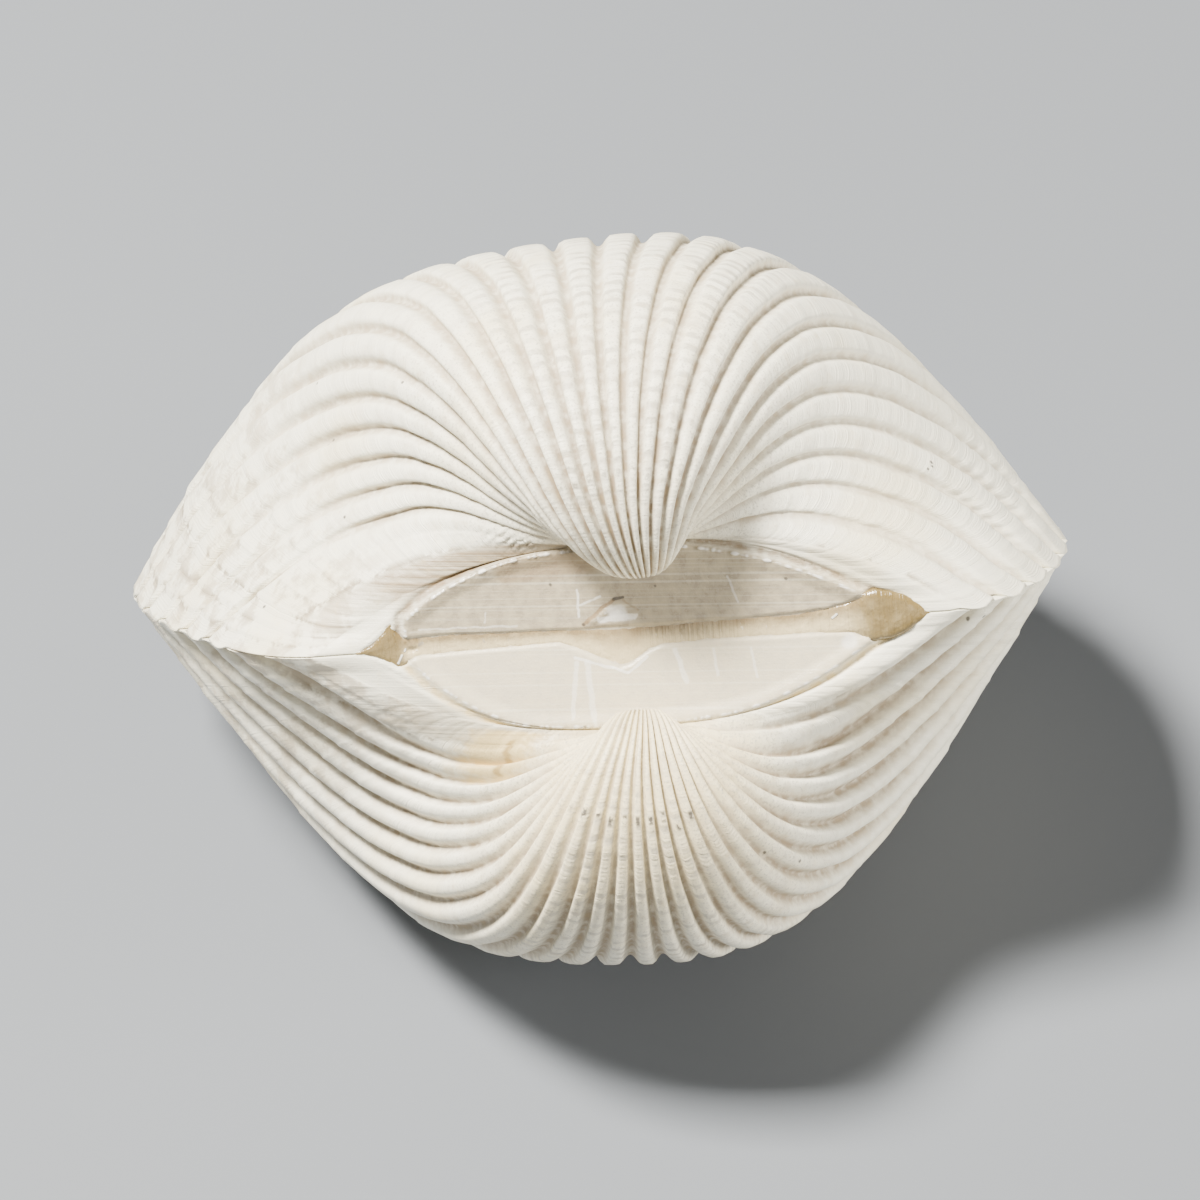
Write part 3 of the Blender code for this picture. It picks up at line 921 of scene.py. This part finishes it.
# Marks on the plate, in the order that they are laid on: x and height of both ends, radius, strength and tint
LEFT_MARKS = (
    (0.3, 2.3, 0.9, 2.3, 0.85, 0.75, LIP_WHITE),
    (-1.0, 1.6, 2.2, 1.7, 0.45, 0.7, LIP_WHITE),
    (-1.8, 1.45, 0.6, 3.1, 0.16, 0.9, LIP_WHITE),
    (0.6, 3.1, 2.4, 1.9, 0.16, 0.9, LIP_WHITE),
    (-2.7, 1.3, 0.4, 3.5, 0.26, 0.8, FURROW_BROWN),
    (0.4, 3.55, 1.3, 3.6, 0.22, 0.9, SPECK_GREY),
    (-2.7, 1.3, -2.7, 1.3, 0.22, 0.9, SPECK_GREY),
    (1.3, 3.4, 2.6, 2.3, 0.16, 0.4, FURROW_BROWN),
    (-3.1, 2.0, -3.0, 4.7, 0.16, 0.55, LIP_WHITE),
    (-2.9, 3.2, -0.9, 3.9, 0.16, 0.5, LIP_WHITE),
    (11.4, 4.9, 12.3, 2.4, 0.16, 0.35, LIP_WHITE),
    (-12.2, 2.2, -12.0, 3.0, 0.14, 0.35, LIP_WHITE),
    (-18.5, 1.9, -9.0, 1.6, 0.14, 0.35, LIP_WHITE),
    (-5.5, 5.4, -5.5, 5.4, 0.26, 0.8, SPECK_GREY),
    (4.5, 4.5, 4.5, 4.5, 0.2, 0.8, SPECK_GREY),
    (17.0, 4.3, 17.0, 4.3, 0.25, 0.8, SPECK_GREY),
    (-14.4, 1.0, -14.4, 1.0, 0.2, 0.7, SPECK_GREY),
    # Painted shade, partly brown tint: a broad soft brown patch on the upper plate under the overhanging
    # beak.
    (-9.5, 7.0, -2.0, 7.6, 1.8, 0.5, FURROW_BROWN),
    # Painted highlight: a white streak along the hinge line at its rear end, where the glossy film glints.
    (-27.2, 0.1, -24.6, 0.1, 0.2, 0.9, LIP_WHITE),
)
# How the finish differs from valve to valve: size and strength of the ring of dark specks, how ivory the
# young shell is, tints of the plate (darker on the upper one as painted shade) and of the furrow round it (on
# the left valve painted shade), sizes over which the grooves' dust and painted shade grow from a third to
# full, their darkness, and strength of the tan on the bevelled ends, which is partly painted shade
LEFT_LOOK = SimpleNamespace(
    name="shell", halt=(0.168, 0.45), warmth=0.15, pearl=SHADED_UPPER_PEARL, furrow=FURROW_BROWN,
    clean_tip=(0.0, 0.01), dark_grooves=0.48, tan_zone=0.95,
)

left_valve = valve_shell("left_valve_shell", LEFT_VALVE, LEFT_LOOK, LEFT_SPECKS, LEFT_MARKS)
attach(left_valve, "root")
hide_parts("left_valve")

# Right valve
# The lower half, the left valve's mirror twin in the same white lime. Its ribs stand half a rib over, so that
# they fill the notches of the other margin, and the tops of three of them are worn flat where it lies.

RIGHT_PAUSES = (
    (0.135, 0.05), (0.165, 0.10), (0.19, 0.08), (0.36, 0.05), (0.50, 0.06), (0.61, 0.07),
    (0.69, 0.14), (0.79, 0.08), (0.865, 0.14), (0.915, 0.12), (0.96, 0.12),
)
RIGHT_PLATE_REAR = (
    (0.30, 0.38, 0.45, 0.50, 0.60, 0.73, 0.86, 1.0),
    (-29.0, -28.1, -26.0, -24.6, -23.2, -22.1, -21.5, -20.5),
)
RIGHT_PLATE_FRONT = (
    (0.30, 0.40, 0.50, 0.62, 0.73, 0.86, 1.0),
    (29.5, 28.2, 27.2, 27.0, 27.4, 27.8, 29.0),
)
RIGHT_WANDER = (
    (0.2, 0.3, 0.8, 0.9, 0.4, -0.6, -1.0, -1.0, -0.8),
    (0.0, 0.0, 0.2, 0.23, -0.22, -0.93, -1.5, -1.2, -0.8),
    (-0.3, -0.4, -0.31, -0.03, -0.37, -0.91, -1.2, -0.8, -0.8),
    (-0.5, -0.6, -0.3, 0.0, -0.25, -0.72, -0.93, -0.72, -0.8),
    (-0.3, -0.34, -0.08, 0.08, -0.16, -0.48, -0.71, -0.77, -0.9),
    (-0.2, -0.19, -0.2, 0.0, 0.0, -0.1, -0.4, -0.75, -0.8),
    (-0.5, -0.42, -0.45, -0.1, 0.0, 0.0, -0.1, -0.4, -0.5),
    (-0.95, -0.88, -0.6, -0.2, 0.0, 0.0, -0.1, -0.1, -0.1),
    (-1.1, -1.0, -0.6, -0.2, 0.0, 0.0, 0.0, 0.0, 0.0),
)
RIGHT_GROOVE = SimpleNamespace(
    depth=2.4, floor=0.06, young_mouth=0.28, mouth=0.36, rounding=0.28, rear_tabs=0.0, front_fall=-0.3,
)
RIGHT_VALVE = SimpleNamespace(
    side=-1, rib_shift=0.5, groove=RIGHT_GROOVE, wander=RIGHT_WANDER, pauses=RIGHT_PAUSES,
    beak_shift=(0.0, 0.0), plate_edges=(RIGHT_PLATE_REAR, RIGHT_PLATE_FRONT), rim_height=0.07,
    trough=BAND_BOTTOM, flake=(), bevels=((8.5, 5.5, 1.2), (6.0, 2.5, 0.8)),
    rear_rib=-13.4, worn_rear=0.0, dark_steps_rear=0.0, fold_rise=0.06, stained=1.0,
)
# Dark specks, as rib place, size and radius in millimetres
RIGHT_SPECKS = (
    (11.67, 0.946, 0.3), (11.49, 0.946, 0.3), (5.38, 0.268, 0.28), (5.81, 0.328, 0.25),
)
# Marks on the plate, as on the left valve
RIGHT_MARKS = (
    (-3.7, -1.9, -0.2, -3.2, 0.2, 0.6, LIP_WHITE),
    (-0.2, -3.2, 1.3, -3.7, 0.2, 0.6, LIP_WHITE),
    (1.3, -3.7, 3.2, -2.3, 0.2, 0.6, LIP_WHITE),
    (-3.6, -2.4, -4.5, -8.4, 0.3, 0.45, LIP_WHITE),
    (-2.6, -2.5, -2.3, -8.4, 0.42, 0.45, LIP_WHITE),
    (5.9, -1.9, 6.8, -5.0, 0.34, 0.45, LIP_WHITE),
    (9.6, -2.0, 9.8, -4.6, 0.2, 0.4, LIP_WHITE),
    (13.2, -2.2, 13.6, -5.0, 0.18, 0.4, LIP_WHITE),
    (22.7, -2.3, 22.7, -2.3, 1.0, 0.5, LIP_WHITE),
    (-18.4, -1.4, -18.4, -1.4, 0.25, 0.6, SPECK_GREY),
    (-15.4, -4.9, -15.4, -4.9, 0.2, 0.5, SPECK_GREY),
)
RIGHT_LOOK = SimpleNamespace(
    name="shell_right", halt=(0.160, 0.9), warmth=1.0, pearl=LOWER_PEARL, furrow=STAIN_YELLOW,
    clean_tip=(0.15, 0.32), dark_grooves=0.75, tan_zone=0.45,
)

right_valve = valve_shell("right_valve_shell", RIGHT_VALVE, RIGHT_LOOK, RIGHT_SPECKS, RIGHT_MARKS)
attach(right_valve, "root")
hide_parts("right_valve")

# Ligament
# The dried ligament: a cream, horny film in the valley between the two cardinal plates, thickened to amber
# fillets at both ends. It grew across the hinge line and still sticks to both valves.

# How far the film stands over the sunk hinge line, at each place on it
FILM_X = (-24.8, -22.5, -20.5, -19.0, 19.0, 23.0, 25.5, 28.5, 30.6)
FILM_HEIGHT = (0.44, 0.55, 0.30, 0.0, 0.0, 0.30, 0.70, 0.62, 0.46)
FILM_DEPTH = 0.7
BAND_COLUMNS = 26
BACK_COLUMNS = 4
BAND_ROWS = 340
LIGAMENT_CREAM = (0.64, 0.53, 0.31, 1.0)
LIGAMENT_TAN = (0.26, 0.185, 0.09, 1.0)
LIGAMENT_AMBER = (0.17, 0.12, 0.042, 1.0)
# Smooth, shiny beads and streaks on the film, painted near white as glints too: x and height of both ends,
# and radius
FILM_GLOSS_AND_GLINTS = (
    (-24.4, 0.1, -24.0, 0.2, 0.13), (-23.5, 0.1, -23.4, 0.1, 0.11), (-20.7, -1.2, -20.3, -0.5, 0.20),
    (-20.0, -0.1, -19.9, 0.1, 0.13), (-18.9, -0.1, -18.7, -0.1, 0.13), (-4.6, 0.0, -4.5, 0.1, 0.11),
    (-3.7, -0.1, -3.7, 0.0, 0.10), (-3.1, -0.2, -3.1, -0.3, 0.12), (-1.3, 0.0, -1.1, -0.1, 0.11),
    (21.2, 0.1, 21.6, 0.4, 0.17), (22.7, 0.1, 22.8, 0.0, 0.12),
)
FILM_BUMP = 0.00015
FILM_COAT = 0.4


def ligament_points():
    """The film: its seen side from the lower plate to the upper one, and its back in the shell."""
    x = np.linspace(BAND_X[0], BAND_X[-1], BAND_ROWS + 1)[None, :]
    top = np.interp(x, BAND_X, BAND_TOP) + 0.04 * ripple(x * 1.1, 21)
    bottom = -np.interp(x, BAND_X, BAND_BOTTOM) + 0.04 * ripple(x * 1.3, 22)
    seen_share = np.linspace(0.0, 1.0, BAND_COLUMNS - BACK_COLUMNS)
    share = np.concatenate((seen_share, np.linspace(0.85, 0.15, BACK_COLUMNS)))[:, None]
    is_seen = (np.arange(BAND_COLUMNS) < len(seen_share))[:, None]
    z = bottom + (top - bottom) * share
    x = x + 0 * z
    out = np.abs(z)
    upper = plate_relief(x, out, LEFT_VALVE, ())[0]
    lower = plate_relief(x, out, RIGHT_VALVE, ())[0]
    on_floor = np.where(z > 0, upper, lower) + 0.03
    dome = 4 * share * (1 - share)
    fillet = np.interp(x, FILM_X, FILM_HEIGHT) * dome ** 0.35 - HINGE_SINK
    height = np.maximum(on_floor, fillet) + 0.03 * ripple(x * 3.1, 23, z * 2.0) * dome
    height = height - 0.15 * (1 - dome) ** 4
    level = PLATE_FALL / PLATE_HEIGHT * out
    y = np.where(is_seen, level - height, level + FILM_DEPTH)
    return np.stack((x, y, z), axis=2), {"across": np.where(is_seen, share, 0.0) + 0 * x}


def ligament_material():
    """Dried horn: cream, tan towards the top partly as painted shade, amber fillets, painted glints, fine
    marks across.
    """
    material, tree, inputs = new_material("dried_ligament")
    at = shell_position(tree)
    along = add_node(tree, "SeparateXYZ", None, Vector=at).outputs[0]
    mottle = noise(tree, at, 0.7, 4.0)
    across = scaled(tree, mottle, 0.3, calc(tree, "SUBTRACT", value_of(tree, "across"), 0.15))
    # Tan towards the upper edge: partly the film's own tan, partly painted shade under the upper plate's
    # edge.
    shaded = times(tree, ramp(tree, across, 0.25, 0.95), ramp(tree, mottle, 0.2, 0.6, 0.7, 1.0))
    colour = blend(tree, shaded, LIGAMENT_CREAM, LIGAMENT_TAN)
    colour = blend(tree, ramp(tree, along, -19.6, -20.8, 0.0, 0.9), colour, LIGAMENT_AMBER)
    amber = times(tree, ramp(tree, along, 22.0, 25.5), ramp(tree, mottle, 0.2, 0.6, 0.75, 1.0))
    colour = blend(tree, amber, colour, LIGAMENT_AMBER)
    gloss_and_glint = 0.0
    for first, second, radius in marks_on_plate(FILM_GLOSS_AND_GLINTS):
        bead = use_group(tree, stroke, Point=at, From=first, To=second, Width=radius)["Mask"]
        gloss_and_glint = calc(tree, "MAXIMUM", gloss_and_glint, bead)
    # Painted highlight: the shiny beads are painted near white where their glints show.
    colour = blend(tree, times(tree, gloss_and_glint, 0.8), colour, LIP_WHITE)
    tree.links.new(colour, inputs["Base Color"])

    relief = scaled(tree, line_noise(tree, along, 3.5, 3.0), 0.5, noise(tree, at, 1.2, 3.0))
    relief = scaled(tree, gloss_and_glint, 0.8, relief)
    bump = add_node(tree, "Bump", None, Height=relief, Distance=FILM_BUMP, Strength=1.0)
    tree.links.new(bump.outputs[0], inputs["Normal"])
    wet = scaled(tree, gloss_and_glint, -0.6, 1.0)
    rough = times(tree, ramp(tree, mottle, 0.3, 0.7, 0.2, 0.38), wet)
    tree.links.new(rough, inputs["Roughness"])
    inputs["Coat Weight"].default_value = FILM_COAT
    return material


band_points, band_values = ligament_points()
ligament = finished_piece("ligament_film", wrapped_sheet(band_points, band_values), ligament_material())
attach(ligament, "root")
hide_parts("ligament")

# Floor
# A plain pale sheet that the shell lies on, wide enough to fill the view. It belongs to the stage, and isn't
# part of the shell.

FLOOR_HALF = 3.0
FLOOR_GREY = (0.145, 0.16, 0.185, 1.0)
FLOOR_ROUGHNESS = 0.8

bm = bmesh.new()
bmesh.ops.create_grid(bm, x_segments=1, y_segments=1, size=FLOOR_HALF)
floor_mesh = bpy.data.meshes.new("floor")
bm.to_mesh(floor_mesh)
bm.free()
floor_finish, _, floor_inputs = new_material("floor")
floor_inputs["Base Color"].default_value = FLOOR_GREY
floor_inputs["Roughness"].default_value = FLOOR_ROUGHNESS
floor_mesh.materials.append(floor_finish)
floor = new_object("floor", floor_mesh)

# Lights
# A soft light high up on the left, a weak one low on the right, a weaker one from the camera's side, and a
# pale sky.

SKY = (1.0, 0.985, 0.96, 1.0)
SKY_STRENGTH = 0.12
WARM_WHITE = (1.0, 0.945, 0.84)
SHELL_MIDDLE = (0.0, 0.0, 0.04)


def soft_light(name, place, size, power):
    """A square lamp that faces the middle of the shell."""
    data = bpy.data.lights.new(name, "AREA")
    data.shape = "SQUARE"
    data.size = size
    data.energy = power
    data.color = WARM_WHITE
    light = new_object(name, data)
    light.location = place
    light.rotation_mode = "QUATERNION"
    light.rotation_quaternion = (Vector(SHELL_MIDDLE) - Vector(place)).to_track_quat("-Z", "Y")


soft_light("key", (-0.34, 0.02, 0.82), 0.20, 44.0)
soft_light("side", (0.70, -0.18, 0.17), 0.26, 8.0)
soft_light("fill", (0.0, -0.8, 0.50), 0.6, 2.5)
world = bpy.data.worlds.new("studio")
world.use_nodes = True
sky = world.node_tree.nodes["Background"]
sky.inputs["Color"].default_value = SKY
sky.inputs["Strength"].default_value = SKY_STRENGTH
bpy.context.scene.world = world

# Camera
# It looks at the hinge side from a little over the plane where the valves meet, and is turned a few degrees,
# so that the hinge line rises to the right.

VIEW_AZIMUTH = 1.371
VIEW_ELEVATION = 10.514
VIEW_ROLL = -4.453
VIEW_DISTANCE = 462.6
VIEW_POINT = (0.0, 20.0, 0.0)
VIEW_POINT_PIXEL = (613.6, 597.4)
IMAGE_SIZE = 1200.0
PIXELS_PER_MM = 9.982
SENSOR = 36.0
VIEW_NEAR = 0.05
VIEW_FAR = 20.0

azimuth, elevation, roll = np.radians((VIEW_AZIMUTH, VIEW_ELEVATION, VIEW_ROLL))
back = Vector((np.sin(azimuth) * np.cos(elevation), -np.cos(azimuth) * np.cos(elevation), np.sin(elevation)))
right = Vector((np.cos(azimuth), np.sin(azimuth), 0.0))
up = back.cross(right)
view_right = right * np.cos(roll) + up * np.sin(roll)
view_up = up * np.cos(roll) - right * np.sin(roll)
eye = Vector(VIEW_POINT) + back * VIEW_DISTANCE
eye += view_right * ((IMAGE_SIZE / 2 - VIEW_POINT_PIXEL[0]) / PIXELS_PER_MM)
eye += view_up * ((VIEW_POINT_PIXEL[1] - IMAGE_SIZE / 2) / PIXELS_PER_MM)
camera_data = bpy.data.cameras.new("camera")
camera_data.sensor_width = SENSOR
camera_data.lens = PIXELS_PER_MM * VIEW_DISTANCE * SENSOR / IMAGE_SIZE
camera_data.clip_start = VIEW_NEAR
camera_data.clip_end = VIEW_FAR
camera = new_object("camera", camera_data)
facing = Matrix((view_right, view_up, back)).transposed().to_4x4()
camera.matrix_world = Matrix.Translation((rest_matrix @ eye) * MM) @ rest_turn @ facing
bpy.context.scene.camera = camera
